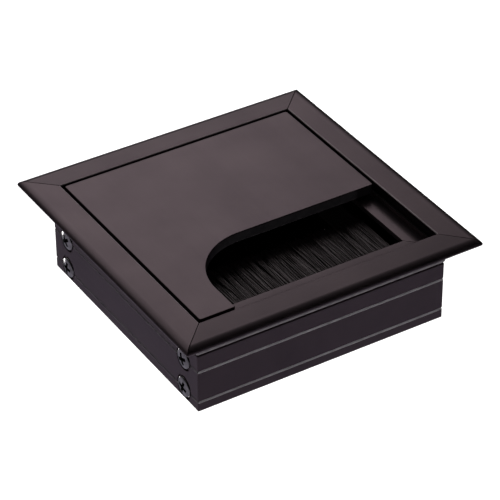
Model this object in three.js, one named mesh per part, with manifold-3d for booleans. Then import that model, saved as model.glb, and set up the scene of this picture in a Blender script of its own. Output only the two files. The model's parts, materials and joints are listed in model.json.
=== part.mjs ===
// Square desk grommet: a mitred aluminium frame that drops into a desk cut-out, a loose lid
// with a cable notch, and a strip brush that closes the notch around the cables.
// Millimetres, +Z up. The origin is the middle of the underside, the front is -Y, and the
// face with the notch's long open side looks towards -Y.

import * as THREE from 'three';
import { mergeVertices } from 'three/addons/utils/BufferGeometryUtils.js';
import Module from 'manifold-3d';

// ---- driving sizes ------------------------------------------------------------------

const height = 28.2; // underside to the top of the flange
const flangeHalf = 47.5; // the flange is 95 mm square
const flangeThick = 2.1;
const flangeSlope = 0.15; // how far the flange's top falls towards its rounded edge
const flangeCornerR = 0.6;
const flangeEdgeRun = 2.5; // how far in the rounded outer edge starts
const flangeEdgeDrop = 1.5; // depth of the widest part of the rounded outer edge
const wallHalf = 40.1; // outside of the walls: a nominal 80 mm cut-out
const wallInnerHalf = 38.3; // inside of the walls and of the flange opening
const wallCornerR = 0.4;

const ledgeDepth = 3.8; // lid seat, below the flange's top
const ledgeThick = 1.5;
const ledgeInnerHalf = 31.6;
const footStep = 0.5; // square bead at the foot of the lid's rebate
const shelfDepth = 10.9; // lower side of the brush slot, below the flange's top
const shelfThick = 1.1;
const shelfInnerHalf = 32.6;

const ribDepth = 8.45; // middle of the grip rib on the outer wall, below the top
const ribHalfHeight = 0.75;
const ribProud = 0.35;
const grooveDepths = [9.4, 14.9, 25.05]; // V-grooves along the outer wall, below the top
const grooveHalfWidth = 0.35;
const grooveCut = 0.35;

const mitreGap = 0.06; // taken off each side of a mitre, along the rail's width

const screwAcross = 32.6; // screw axes, out from the middle of the frame
const screwDepths = { upper: 14.9, lower: 24.5 }; // screw axes, below the top
const screwHeadR = 3.45;
const screwHeadProud = 0.95;
const screwShankR = 1.45;
const screwLength = 16;
const screwSunk = 0.45; // height of the head that is down in its counterbore
const counterboreR = 3.6;
const counterboreCut = 0.5;
const screwHoleR = 1.9;
const portOuterR = 2.6;
const portBoreR = 1.7;
const portWebThick = 1.2;
const portMouth = 1.6; // the ports are C-shaped, open towards the middle of the frame

const lidHalf = 37.35;
const lidThick = 3.0;
const lidEdge = 0.15; // broken edge all round
const lidCornerR = 0.5;
const notchLeft = -26.3; // the notch's left edge, in X
const notchBack = -8.5; // the notch's back edge, in Y
const notchR = 18.8;
const padR = 2.2;
const padInset = 34.4; // pad centres, out from the middle of the frame
const padGap = 0.02;

const brushDepth = 8.1; // middle plane of the brush, below the top
const channelOuter = 5.2; // height of the folded channel that grips the bristles
const channelSheet = 0.8;
const channelBack = 38.2;
const channelMouth = 32.3;
const channelHalfLength = 37.6;
const wireR = 0.8;
const wireAcross = 35.9;
const rootHalfThick = 1.45;
const rootEnd = 32.85;
const bristleHalfThick = 1.5;
const bristlePivot = 31.0; // where the bristles start to bend, out from the middle
const bristleTip = 13.5;
const bristleHalfLength = 30.1;

const roundSides = 24;

// ---- solid helpers --------------------------------------------------------------------

const wasm = await Module();
wasm.setup();

function solidFrom(geometry) {
  const plain = geometry.clone();
  plain.deleteAttribute('normal');
  plain.deleteAttribute('uv');
  const merged = mergeVertices(plain, 1e-4);
  const corners = merged.index.array;
  const triangles = [];
  for (let i = 0; i < corners.length; i += 3) {
    const [a, b, c] = [corners[i], corners[i + 1], corners[i + 2]];
    if (a !== b && b !== c && c !== a) triangles.push(a, b, c);
  }
  return new wasm.Manifold(new wasm.Mesh({
    numProp: 3,
    vertProperties: new Float32Array(merged.attributes.position.array),
    triVerts: new Uint32Array(triangles),
  }));
}

function geometryFrom(solid) {
  const mesh = solid.getMesh();
  const geometry = new THREE.BufferGeometry();
  geometry.setAttribute('position', new THREE.BufferAttribute(mesh.vertProperties, 3));
  geometry.setIndex(new THREE.BufferAttribute(mesh.triVerts, 1));
  geometry.computeVertexNormals();
  return geometry;
}

function boxSolid(low, high) {
  const size = high.map((value, i) => value - low[i]);
  const box = new THREE.BoxGeometry(...size);
  box.translate(...low.map((value, i) => value + size[i] / 2));
  return solidFrom(box);
}

// A cylinder whose axis runs along X, Y or Z.
function rodSolid(radius, length, axis, centre) {
  const rod = new THREE.CylinderGeometry(radius, radius, length, roundSides);
  if (axis === 'x') rod.rotateZ(Math.PI / 2);
  if (axis === 'z') rod.rotateX(Math.PI / 2);
  rod.translate(...centre);
  return solidFrom(rod);
}

// A section drawn with X outward and Y up becomes a bar that runs along the row's Y.
function barAlongY(section, length) {
  const bar = new THREE.ExtrudeGeometry(section, {
    depth: length, bevelEnabled: false, curveSegments: 8,
  });
  bar.translate(0, 0, -length / 2);
  bar.rotateX(Math.PI / 2);
  return bar;
}

// An outline drawn in plan becomes a plate between two heights.
function plateSolid(outline, low, high) {
  const plate = new THREE.ExtrudeGeometry(outline, {
    depth: high - low, bevelEnabled: false, curveSegments: 6,
  });
  plate.translate(0, 0, low);
  return solidFrom(plate);
}

function roundedSquare(half, radius) {
  const shape = new THREE.Shape();
  const flat = half - radius;
  shape.moveTo(half, -flat);
  shape.lineTo(half, flat);
  shape.absarc(flat, flat, radius, 0, Math.PI / 2);
  shape.lineTo(-flat, half);
  shape.absarc(-flat, flat, radius, Math.PI / 2, Math.PI);
  shape.lineTo(-half, -flat);
  shape.absarc(-flat, -flat, radius, Math.PI, 1.5 * Math.PI);
  shape.lineTo(flat, -half);
  shape.absarc(flat, -flat, radius, 1.5 * Math.PI, 2 * Math.PI);
  return shape;
}

// ---- frame rails ------------------------------------------------------------------------

// The extruded section: X is the distance out from the middle of the frame, Y the height.
function railSection() {
  const section = new THREE.Shape();
  const at = (across, depth) => section.lineTo(across, height - depth);
  section.moveTo(wallInnerHalf, height);
  at(wallInnerHalf, ledgeDepth - footStep);
  at(wallInnerHalf - footStep, ledgeDepth - footStep);
  at(wallInnerHalf - footStep, ledgeDepth);
  at(ledgeInnerHalf, ledgeDepth);
  at(ledgeInnerHalf, ledgeDepth + ledgeThick);
  at(wallInnerHalf, ledgeDepth + ledgeThick);
  at(wallInnerHalf, shelfDepth);
  at(shelfInnerHalf, shelfDepth);
  at(shelfInnerHalf, shelfDepth + shelfThick);
  at(wallInnerHalf, shelfDepth + shelfThick);
  at(wallInnerHalf, height);
  at(wallHalf, height);
  for (const depth of [...grooveDepths].reverse()) {
    at(wallHalf, depth + grooveHalfWidth);
    at(wallHalf - grooveCut, depth);
    at(wallHalf, depth - grooveHalfWidth);
  }
  const ribLow = height - ribDepth - ribHalfHeight + 0.15;
  const ribHigh = height - ribDepth + ribHalfHeight;
  section.bezierCurveTo(
    wallHalf + ribProud * 1.3, ribLow, wallHalf + ribProud * 1.3, ribHigh, wallHalf, ribHigh,
  );
  at(wallHalf, flangeThick);
  const underR = flangeThick - flangeEdgeDrop;
  at(flangeHalf - underR, flangeThick);
  section.absarc(flangeHalf - underR, height - flangeEdgeDrop, underR, -Math.PI / 2, 0);
  section.absellipse(
    flangeHalf - flangeEdgeRun, height - flangeEdgeDrop,
    flangeEdgeRun, flangeEdgeDrop - flangeSlope, 0, Math.PI / 2,
  );
  section.lineTo(wallInnerHalf, height);
  return section;
}

// What the four corners of the assembled frame are ground to.
function cornerEnvelope() {
  const flangeBottom = height - flangeThick;
  const ribBottom = height - ribDepth - ribHalfHeight;
  const ribTop = height - ribDepth + ribHalfHeight;
  const flange = plateSolid(roundedSquare(flangeHalf, flangeCornerR), flangeBottom, height + 1);
  const walls = plateSolid(roundedSquare(wallHalf, wallCornerR), -1, height);
  const rib = plateSolid(
    roundedSquare(wallHalf + ribProud, wallCornerR + ribProud), ribBottom, ribTop,
  );
  return flange.add(walls).add(rib);
}

// A wedge with 45 degree sides: one quarter of the frame in plan.
function mitreWedge() {
  const reach = flangeHalf + 5;
  const wedge = new THREE.Shape();
  wedge.moveTo(mitreGap, 0);
  wedge.lineTo(mitreGap + reach, -reach);
  wedge.lineTo(mitreGap + reach, reach);
  return plateSolid(wedge, -2, height + 2);
}

// Two C-shaped screw ports with their webs, along the whole rail.
function addScrewPorts(rail) {
  const length = 2 * flangeHalf;
  let withPorts = rail;
  for (const depth of Object.values(screwDepths)) {
    const level = height - depth;
    const centre = [screwAcross, 0, level];
    const web = boxSolid(
      [screwAcross, -length / 2, level - portWebThick / 2],
      [wallInnerHalf + 0.2, length / 2, level + portWebThick / 2],
    );
    const mouth = boxSolid(
      [screwAcross - portOuterR - 1, -length / 2 - 1, level - portMouth / 2],
      [screwAcross, length / 2 + 1, level + portMouth / 2],
    );
    withPorts = withPorts
      .add(rodSolid(portOuterR, length, 'y', centre))
      .add(web)
      .subtract(rodSolid(portBoreR, length + 2, 'y', centre))
      .subtract(mouth);
  }
  return withPorts;
}

// Four counterbored screw holes through the wall of a side rail.
function cutScrewHoles(rail) {
  let drilled = rail;
  for (const depth of Object.values(screwDepths)) {
    for (const side of [-1, 1]) {
      const place = [wallHalf, side * screwAcross, height - depth];
      drilled = drilled
        .subtract(rodSolid(screwHoleR, 8, 'x', place))
        .subtract(rodSolid(counterboreR, 2 * counterboreCut, 'x', place));
    }
  }
  return drilled;
}

// A rail as the right-hand side of the frame; the others are the same rail turned about Z.
function railGeometry(hasPorts) {
  let rail = solidFrom(barAlongY(railSection(), 2 * flangeHalf + 2));
  if (hasPorts) rail = addScrewPorts(rail);
  rail = rail.intersect(mitreWedge()).intersect(cornerEnvelope());
  if (!hasPorts) rail = cutScrewHoles(rail);
  return geometryFrom(rail);
}

// ---- screws -------------------------------------------------------------------------------

// Raised-head cross-recess screw: the head looks along +Y, and Y is 0 at the rail's face.
function screwGeometry() {
  const profile = [new THREE.Vector2(0, screwSunk - screwLength - 0.5)];
  profile.push(new THREE.Vector2(screwShankR, -screwLength + 2.0));
  profile.push(new THREE.Vector2(screwShankR, -screwSunk));
  profile.push(new THREE.Vector2(screwHeadR, -screwSunk));
  const domeSteps = 6;
  for (let i = 0; i <= domeSteps; i += 1) {
    const angle = (i / domeSteps) * (Math.PI / 2);
    const radius = i === domeSteps ? 0 : screwHeadR * Math.cos(angle);
    profile.push(new THREE.Vector2(radius, screwHeadProud * Math.sin(angle)));
  }
  let screw = solidFrom(new THREE.LatheGeometry(profile, roundSides));
  for (const turn of [0, Math.PI / 2]) {
    const blade = new THREE.BoxGeometry(3.9, 2.0, 0.8);
    blade.translate(0, screwHeadProud + 0.05, 0);
    blade.rotateY(turn);
    screw = screw.subtract(solidFrom(blade));
  }
  return geometryFrom(screw);
}

// ---- lid ------------------------------------------------------------------------------------

function lidOutline(inset) {
  const half = lidHalf - inset;
  const corner = lidCornerR;
  const left = notchLeft - inset;
  const back = notchBack + inset;
  const radius = notchR + inset;
  const outline = new THREE.Shape();
  outline.moveTo(-half + corner, -half);
  outline.lineTo(left - corner, -half);
  outline.absarc(left - corner, -half + corner, corner, -Math.PI / 2, 0);
  outline.lineTo(left, back - radius);
  outline.absarc(left + radius, back - radius, radius, Math.PI, Math.PI / 2, true);
  outline.lineTo(half - corner, back);
  outline.absarc(half - corner, back + corner, corner, -Math.PI / 2, 0);
  outline.lineTo(half, half - corner);
  outline.absarc(half - corner, half - corner, corner, 0, Math.PI / 2);
  outline.lineTo(-half + corner, half);
  outline.absarc(-half + corner, half - corner, corner, Math.PI / 2, Math.PI);
  outline.lineTo(-half, -half + corner);
  outline.absarc(-half + corner, -half + corner, corner, Math.PI, 1.5 * Math.PI);
  return outline;
}

function lidGeometry() {
  const lid = new THREE.ExtrudeGeometry(lidOutline(lidEdge), {
    depth: lidThick - 2 * lidEdge,
    bevelEnabled: true,
    bevelThickness: lidEdge,
    bevelSize: lidEdge,
    bevelSegments: 1,
    curveSegments: 16,
  });
  lid.translate(0, 0, lidEdge);
  return geometryFrom(solidFrom(lid));
}

// Round felt pads under the lid: they keep it quiet and flush.
const padPlaces = {
  back_left: [-padInset, padInset],
  back_right: [padInset, padInset],
  front_left: [-padInset, -padInset],
  front_right: [padInset, notchBack + 5],
};

// ---- brush ------------------------------------------------------------------------------------

// The brush sections are drawn like the rail's: X outward, Y up.
function channelGeometry() {
  const level = height - brushDepth;
  const outer = channelOuter / 2;
  const inner = outer - channelSheet;
  const section = new THREE.Shape();
  section.moveTo(channelMouth, level - outer);
  section.lineTo(channelBack, level - outer);
  section.lineTo(channelBack, level + outer);
  section.lineTo(channelMouth, level + outer);
  section.lineTo(channelMouth, level + inner);
  section.lineTo(channelBack - channelSheet, level + inner);
  section.lineTo(channelBack - channelSheet, level - inner);
  section.lineTo(channelMouth, level - inner);
  return barAlongY(section, 2 * channelHalfLength);
}

// The bristles fold round the core wire; this is the part of the fold inside the channel.
function bristleRootGeometry() {
  const level = height - brushDepth;
  const section = new THREE.Shape();
  section.moveTo(rootEnd, level - rootHalfThick);
  section.lineTo(wireAcross, level - rootHalfThick);
  section.absarc(wireAcross, level, rootHalfThick, -Math.PI / 2, Math.PI / 2);
  section.lineTo(rootEnd, level + rootHalfThick);
  const wireHole = new THREE.Path();
  wireHole.absarc(wireAcross, level, wireR + 0.05, 0, 2 * Math.PI, true);
  section.holes.push(wireHole);
  return barAlongY(section, 2 * channelHalfLength - 0.4);
}

function coreWireGeometry() {
  const section = new THREE.Shape();
  section.absarc(wireAcross, height - brushDepth, wireR, 0, 2 * Math.PI);
  return barAlongY(section, 2 * channelHalfLength);
}

// The free length of the bristles, rounded about the line where they bend.
function bristleGeometry() {
  const section = new THREE.Shape();
  section.moveTo(bristleTip, -bristleHalfThick);
  section.lineTo(bristlePivot, -bristleHalfThick);
  section.absarc(bristlePivot, 0, bristleHalfThick, -Math.PI / 2, Math.PI / 2);
  section.lineTo(bristleTip, bristleHalfThick);
  return barAlongY(section, 2 * bristleHalfLength);
}

// ---- materials ----------------------------------------------------------------------------------

function finish(color, roughness, metalness) {
  return new THREE.MeshStandardMaterial({ color, roughness, metalness });
}

const anodised = () => finish(0x3a3538, 0.45, 0.6);
const lidAnodised = () => finish(0x443e41, 0.45, 0.6);
const blackZinc = () => finish(0x5a5458, 0.3, 0.9);
const blackSteel = () => finish(0x242224, 0.5, 0.7);
const nylon = () => finish(0x141315, 0.6, 0.0);
const felt = () => finish(0x1c1b1c, 0.95, 0.0);

// ---- assembly -----------------------------------------------------------------------------------

const grommet = new THREE.Group();

function place(name, geometry, material, parent) {
  const piece = new THREE.Mesh(geometry, material);
  piece.name = name;
  parent.add(piece);
  return piece;
}

// Quarter turns about Z that take the right-hand rail to each side.
const sides = { right: 0, back: 1, left: 2, front: 3 };

for (const [side, quarter] of Object.entries(sides)) {
  const hasPorts = side === 'front' || side === 'back';
  const rail = place(`${side}_rail`, railGeometry(hasPorts), anodised(), grommet);
  rail.rotation.z = quarter * Math.PI / 2;
}

let screwCount = 0;
for (const [side, outward] of [['left', -1], ['right', 1]]) {
  for (const [end, along] of [['front', -1], ['back', 1]]) {
    for (const [row, depth] of Object.entries(screwDepths)) {
      const screw = place(`${side}_screw_${end}_${row}`, screwGeometry(), blackZinc(), grommet);
      const recessTurn = 0.35 + 0.9 * screwCount;
      screw.rotation.set(0, recessTurn, -outward * Math.PI / 2, 'ZYX');
      screw.position.set(outward * wallHalf, along * screwAcross, height - depth);
      screwCount += 1;
    }
  }
}

const lidGroup = new THREE.Group();
lidGroup.position.z = height - lidThick;
grommet.add(lidGroup);
place('lid', lidGeometry(), lidAnodised(), lidGroup);
const padThick = ledgeDepth - lidThick - 2 * padGap;
for (const [corner, [x, y]] of Object.entries(padPlaces)) {
  const disc = new THREE.CylinderGeometry(padR, padR, padThick, roundSides);
  disc.rotateX(Math.PI / 2);
  const pad = place(`lid_pad_${corner}`, disc, felt(), lidGroup);
  pad.position.set(x, y, -padGap - padThick / 2);
}

const brushGroup = new THREE.Group();
brushGroup.rotation.z = sides.front * Math.PI / 2;
grommet.add(brushGroup);
place('brush_channel', channelGeometry(), blackSteel(), brushGroup);
place('brush_core_wire', coreWireGeometry(), blackSteel(), brushGroup);
place('bristle_root', bristleRootGeometry(), nylon(), brushGroup);
const bristles = place('bristles', bristleGeometry(), nylon(), brushGroup);
bristles.position.z = height - brushDepth;

export default grommet;
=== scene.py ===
"""The looks of a square desk grommet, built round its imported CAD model.

Sizes are millimetres, as in the CAD; make_piece turns them into the frame's metres.
Depths are measured down from the top of the flange.
"""

import json
import math
import random

import bmesh
import bpy
from mathutils import Matrix, Vector

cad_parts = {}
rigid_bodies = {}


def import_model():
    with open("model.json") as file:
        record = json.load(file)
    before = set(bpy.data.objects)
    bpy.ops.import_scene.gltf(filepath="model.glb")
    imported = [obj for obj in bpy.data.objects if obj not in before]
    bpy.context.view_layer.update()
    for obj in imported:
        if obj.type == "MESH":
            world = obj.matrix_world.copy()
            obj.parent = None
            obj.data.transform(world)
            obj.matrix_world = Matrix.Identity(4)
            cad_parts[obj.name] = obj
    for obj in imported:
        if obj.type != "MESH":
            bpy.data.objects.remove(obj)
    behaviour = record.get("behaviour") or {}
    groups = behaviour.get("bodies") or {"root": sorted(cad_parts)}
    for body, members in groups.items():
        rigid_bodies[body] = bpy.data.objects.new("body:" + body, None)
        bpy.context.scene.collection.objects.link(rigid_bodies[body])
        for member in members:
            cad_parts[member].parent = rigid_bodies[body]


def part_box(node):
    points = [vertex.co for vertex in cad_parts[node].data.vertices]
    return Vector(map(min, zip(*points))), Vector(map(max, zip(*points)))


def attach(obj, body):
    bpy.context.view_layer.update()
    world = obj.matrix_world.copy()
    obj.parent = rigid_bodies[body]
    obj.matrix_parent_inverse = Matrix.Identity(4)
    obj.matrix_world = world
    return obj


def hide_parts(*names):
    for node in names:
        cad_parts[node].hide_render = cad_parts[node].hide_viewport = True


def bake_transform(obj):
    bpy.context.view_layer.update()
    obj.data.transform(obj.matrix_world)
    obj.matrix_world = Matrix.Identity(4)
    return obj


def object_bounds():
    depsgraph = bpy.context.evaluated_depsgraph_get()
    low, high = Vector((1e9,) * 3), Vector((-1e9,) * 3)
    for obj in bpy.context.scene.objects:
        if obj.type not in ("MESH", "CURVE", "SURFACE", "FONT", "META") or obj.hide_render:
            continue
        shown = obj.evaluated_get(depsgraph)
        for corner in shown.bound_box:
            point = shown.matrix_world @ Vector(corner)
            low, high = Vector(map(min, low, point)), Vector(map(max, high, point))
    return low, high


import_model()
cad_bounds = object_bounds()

MM = 0.001


def box_mm(node):
    """Lowest and highest corner of a CAD node, in millimetres."""
    low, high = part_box(node)
    return low / MM, high / MM


# ---- sizes taken from the CAD frame ----------------------------------------------------

RAIL_LOW, RAIL_HIGH = box_mm("front_rail")
LID_LOW, LID_HIGH = box_mm("lid")
BRUSH_LOW, BRUSH_HIGH = box_mm("bristles")
CHANNEL_LOW, CHANNEL_HIGH = box_mm("brush_channel")
WIRE_LOW, WIRE_HIGH = box_mm("brush_core_wire")
ROOT_LOW, ROOT_HIGH = box_mm("bristle_root")

TOP = RAIL_HIGH.z
FLANGE_HALF = -RAIL_LOW.y
LID_HALF = LID_HIGH.x
LID_DEPTH = TOP - LID_LOW.z
BRUSH_LEVEL = (BRUSH_LOW.z + BRUSH_HIGH.z) / 2

# ---- sizes of the rail's section -------------------------------------------------------

FLANGE_THICK = 2.1
FLANGE_CORNER_R = 0.3
FLANGE_SLOPE = 0.15
FLANGE_EDGE_RUN = 2.5
FLANGE_EDGE_DEPTH = 1.5
WALL_HALF = 40.1
WALL_INNER = 38.3
WALL_CORNER_R = 0.4
LEDGE_INNER = 31.6
LEDGE_DEPTH = 3.8
LEDGE_THICK = 1.5
LEDGE_FLAT = 33.0
LEDGE_FALL = 0.8
LEDGE_PLACES = (37, 36.2, 35.4, 34.6, 33.8)
FOOT_STEP = 0.5
SHELF_INNER = 32.6
SHELF_DEPTH = 10.9
SHELF_THICK = 1.1
RIB_DEPTH = 8.38
RIB_HALF_HEIGHT = 0.67
RIB_PROUD = 0.35
CREASE_DEPTH = 9.4
GROOVE_DEPTHS = (14.9, 25.05)
GROOVE_HALF = 0.35
GROOVE_CUT = 0.35
MITRE_GAP = 0.06
MITRE_BREAK = 0.12
RIM_WIDTH = 0.6

# The gap and the break of a mitre where they are finer: on the wall and at the rim.
MITRE_ON_WALL = (0.01, 0.02)
MITRE_AT_RIM = (0.02, 0.05)

SCREW_ACROSS = 32.6
SCREW_DEPTHS = {"upper": 14.9, "lower": 24.5}
PORT_OUTER_R = 2.6
PORT_BORE_R = 1.7
PORT_WEB_HALF = 0.6
PORT_MOUTH_HALF = 0.8
HOLE_R = 1.9
COUNTERBORE_R = 3.6
COUNTERBORE_CUT = 0.5
HOLE_REACH = 8
HOLE_BREAK = 0.12

LID_PLAY = 0.12
LID_CORNER_R = 0.5
PAD_EXTRA = 0.2
NOTCH_LEFT = -26.3
NOTCH_BACK = -8.5
NOTCH_R = 18.8


# ---- mesh helpers ----------------------------------------------------------------------


def make_piece(name, points, faces, materials, smooth_angle=35):
    """A mesh object from points in millimetres, smooth apart from its sharp edges."""
    mesh = bpy.data.meshes.new(name)
    mesh.from_pydata([[c * MM for c in p] for p in points], [], faces)
    for material in materials:
        mesh.materials.append(material)
    piece = bpy.data.objects.new(name, mesh)
    bpy.context.scene.collection.objects.link(piece)
    tidy_normals(mesh, smooth_angle)
    return piece


def tidy_normals(mesh, smooth_angle=35):
    """Outward faces, smooth shading, and sharp edges where faces meet at a clear angle."""
    work = bmesh.new()
    work.from_mesh(mesh)
    bmesh.ops.remove_doubles(work, verts=work.verts, dist=1e-7)
    bmesh.ops.recalc_face_normals(work, faces=work.faces)
    limit = math.radians(smooth_angle)
    for face in work.faces:
        face.smooth = True
    for edge in work.edges:
        edge.smooth = edge.calc_face_angle(0) < limit
    work.to_mesh(mesh)
    work.free()


def weigh_normals(piece):
    """Keeps large flat faces flat next to their small rounded edges."""
    weigh = piece.modifiers.new("weighted", "WEIGHTED_NORMAL")
    weigh.mode = "FACE_AREA"
    weigh.weight = 100
    weigh.keep_sharp = True


def cut(piece, cutter):
    """Takes the cutter's solid out of the piece and removes the cutter."""
    boolean = piece.modifiers.new("cut", "BOOLEAN")
    boolean.operation = "DIFFERENCE"
    boolean.solver = "EXACT"
    boolean.object = cutter
    bpy.context.view_layer.update()
    graph = bpy.context.evaluated_depsgraph_get()
    done = bpy.data.meshes.new_from_object(piece.evaluated_get(graph))
    piece.modifiers.clear()
    piece.data = done
    bpy.data.objects.remove(cutter)


def rounded(corners):
    """An outline from corners of (across, depth, radius), each turned into an arc."""
    outline = []
    count = len(corners)
    for i, (x, y, radius) in enumerate(corners):
        here = Vector((x, y))
        if radius <= 0:
            outline.append((x, y))
            continue
        before = (Vector(corners[i - 1][:2]) - here).normalized()
        after = (Vector(corners[(i + 1) % count][:2]) - here).normalized()
        half = math.acos(max(-1, min(1, before.dot(after)))) / 2
        reach = radius / math.tan(half)
        centre = here + (before + after).normalized() * radius / math.sin(half)
        start = here + before * reach - centre
        end = here + after * reach - centre
        steps = 3 if radius < 0.25 else 6
        for k in range(steps + 1):
            turn = k / steps
            arm = start.slerp(end, turn).normalized() * radius
            outline.append(tuple(centre + arm))
    return outline


def arc(centre_x, centre_y, radius, start, end, steps):
    """Points on an arc; the angles are in degrees."""
    angles = [math.radians(start + (end - start) * k / steps) for k in range(steps + 1)]
    return [(centre_x + radius * math.cos(a), centre_y + radius * math.sin(a)) for a in angles]


def lathe(profile, sides):
    """Points and faces of a solid turned about Y from (radius, along) points."""
    points, faces, rings = [], [], []
    for radius, along in profile:
        if radius < 1e-6:
            rings.append([len(points)])
            points.append((0, along, 0))
            continue
        rings.append(list(range(len(points), len(points) + sides)))
        for k in range(sides):
            a = 2 * math.pi * k / sides
            points.append((radius * math.cos(a), along, radius * math.sin(a)))
    for low, high in zip(rings, rings[1:]):
        for k in range(sides):
            n = (k + 1) % sides
            quad = [low[k % len(low)], low[n % len(low)], high[n % len(high)], high[k % len(high)]]
            faces.append(list(dict.fromkeys(quad)))
    return points, faces


def skin(count, rings):
    """Faces of a closed tube through rings of points, with a flat face at each end."""
    faces = []
    for ring in range(rings - 1):
        for i in range(count):
            n = (i + 1) % count
            a, b = ring * count, (ring + 1) * count
            faces.append([a + i, a + n, b + n, b + i])
    faces.append(list(range(count)))
    faces.append(list(range((rings - 1) * count, rings * count)))
    return faces


def bar(section, start, end):
    """Points and faces of a straight bar along X, from a section of (y, z) points."""
    points = [(x, y, z) for x in (start, end) for y, z in section]
    return points, skin(len(section), 2)


# ---- materials -------------------------------------------------------------------------


def new_material(name):
    """A node material: itself, its tree and its Principled shader."""
    material = bpy.data.materials.new(name)
    material.use_nodes = True
    tree = material.node_tree
    shader = tree.nodes["Principled BSDF"]
    return material, tree, shader


def node(tree, kind, **inputs):
    """A node with some of its inputs set; an underscore stands for a space."""
    made = tree.nodes.new(kind)
    for key, value in inputs.items():
        made.inputs[key.replace("_", " ")].default_value = value
    return made


def object_noise(tree, stretch, scale, detail=3.0, roughness=0.5):
    """Noise fixed to the object, stretched by a scale along X, Y and Z."""
    place = tree.nodes.new("ShaderNodeTexCoord")
    mapping = node(tree, "ShaderNodeMapping", Scale=stretch)
    noise = node(tree, "ShaderNodeTexNoise", Scale=scale, Detail=detail, Roughness=roughness)
    tree.links.new(place.outputs["Object"], mapping.inputs["Vector"])
    tree.links.new(mapping.outputs["Vector"], noise.inputs["Vector"])
    return noise.outputs["Fac"]


def spread(tree, value, low, high):
    """Noise, which is mostly between 0.3 and 0.7, spread over a range."""
    ranged = node(tree, "ShaderNodeMapRange", From_Min=0.3, From_Max=0.7, To_Min=low, To_Max=high)
    tree.links.new(value, ranged.inputs["Value"])
    return ranged.outputs["Result"]


def tone(tree, value, dark, light):
    """Two colours mixed by a value."""
    mixed = tree.nodes.new("ShaderNodeMix")
    mixed.data_type = "RGBA"
    mixed.inputs["A"].default_value = (*dark, 1)
    mixed.inputs["B"].default_value = (*light, 1)
    tree.links.new(value, mixed.inputs["Factor"])
    return mixed.outputs["Result"]


def relief(tree, shader, heights):
    """Bumps from (height, strength, distance in mm), one over another."""
    normal = None
    for height, strength, distance in heights:
        bump = node(tree, "ShaderNodeBump", Strength=strength, Distance=distance * MM)
        tree.links.new(height, bump.inputs["Height"])
        if normal is not None:
            tree.links.new(normal, bump.inputs["Normal"])
        normal = bump.outputs["Normal"]
    tree.links.new(normal, shader.inputs["Normal"])


def satin_anodised(name, grain, dark, light, roughness=0.36):
    """Etched and black anodised aluminium: fine blast texture over faint drawn lines."""
    material, tree, shader = new_material(name)
    mottle = object_noise(tree, (1, 1, 1), 55, 4)
    blast = object_noise(tree, (1, 1, 1), 5200, 2)
    lines = object_noise(tree, grain, 1, 3)
    tree.links.new(tone(tree, spread(tree, mottle, 0, 1), dark, light), shader.inputs["Base Color"])
    low, high = roughness - 0.011, roughness + 0.011
    tree.links.new(spread(tree, lines, low, high), shader.inputs["Roughness"])
    shader.inputs["Metallic"].default_value = 0.88
    shader.inputs["Specular Tint"].default_value = (*EDGE_ON_TINT, 1)
    relief(tree, shader, [(blast, 0.12, 0.02), (lines, 0.03, 0.02)])
    return material


# How the noise is stretched where the metal is drawn along X or Y.
DRAWN_X = (9, 1500, 1500)
DRAWN_Y = (1500, 9, 1500)

# The dark and light ends of each finish. The front and back rails get a darker copy of the black, as
# painted shade.
BLACK_DARK, BLACK_LIGHT = (0.090, 0.067, 0.075), (0.109, 0.082, 0.090)
CROSS_SHADED_DARK, CROSS_SHADED_LIGHT = (0.077, 0.058, 0.065), (0.094, 0.071, 0.078)
# Painted shade: the recess inside the wall is much darker than the coat, and rougher.
RECESS_SHADE_DARK, RECESS_SHADE_LIGHT = (0.020, 0.016, 0.018), (0.030, 0.024, 0.027)
# Painted highlight on the lips of the grooves: strong on the front and back rails, faint on the side
# rails.
GROOVE_HIGHLIGHT_STRONG = (0.50, 0.465, 0.49), (0.68, 0.64, 0.67)
GROOVE_HIGHLIGHT_FAINT = (0.12, 0.105, 0.115), (0.19, 0.17, 0.18)
# Painted highlight on the rib and on the side rails' lower flange edge.
RIB_HIGHLIGHT_DARK, RIB_HIGHLIGHT_LIGHT = (0.13, 0.115, 0.125), (0.20, 0.18, 0.19)
# Painted highlight along the flange's inner top edge.
EDGE_HIGHLIGHT_DARK, EDGE_HIGHLIGHT_LIGHT = (0.30, 0.245, 0.26), (0.46, 0.38, 0.40)
# Painted highlight on the side faces of the lid's notch.
LID_EDGE_HIGHLIGHT_DARK, LID_EDGE_HIGHLIGHT_LIGHT = (0.27, 0.255, 0.28), (0.39, 0.365, 0.40)
RECESS_ROUGHNESS = 0.42

# Less than white, so that the black metal doesn't turn pale when seen edge on.
EDGE_ON_TINT = (0.62, 0.62, 0.62)


def painted_highlight_finish(name, grain, dark, light):
    """A lighter, less metallic finish for painted highlights on edges, lips and the rib."""
    material, tree, shader = new_material(name)
    patches = object_noise(tree, (1, 1, 1), 400, 4)
    lines = object_noise(tree, grain, 1, 3)
    tree.links.new(tone(tree, spread(tree, patches, 0, 1), dark, light), shader.inputs["Base Color"])
    tree.links.new(spread(tree, lines, 0.38, 0.5), shader.inputs["Roughness"])
    shader.inputs["Metallic"].default_value = 0.35
    relief(tree, shader, [(lines, 0.1, 0.02)])
    return material


def black_zinc():
    """Bright-dipped black zinc on a rolled steel screw."""
    material, tree, shader = new_material("black_zinc")
    stain = object_noise(tree, (1, 1, 1), 700, 4)
    scuff = object_noise(tree, (1, 1, 1), 4200, 3)
    colour = tone(tree, spread(tree, stain, 0, 1), (0.13, 0.122, 0.118), (0.30, 0.28, 0.27))
    tree.links.new(colour, shader.inputs["Base Color"])
    tree.links.new(spread(tree, scuff, 0.12, 0.26), shader.inputs["Roughness"])
    shader.inputs["Metallic"].default_value = 1.0
    relief(tree, shader, [(scuff, 0.08, 0.02)])
    return material


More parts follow.
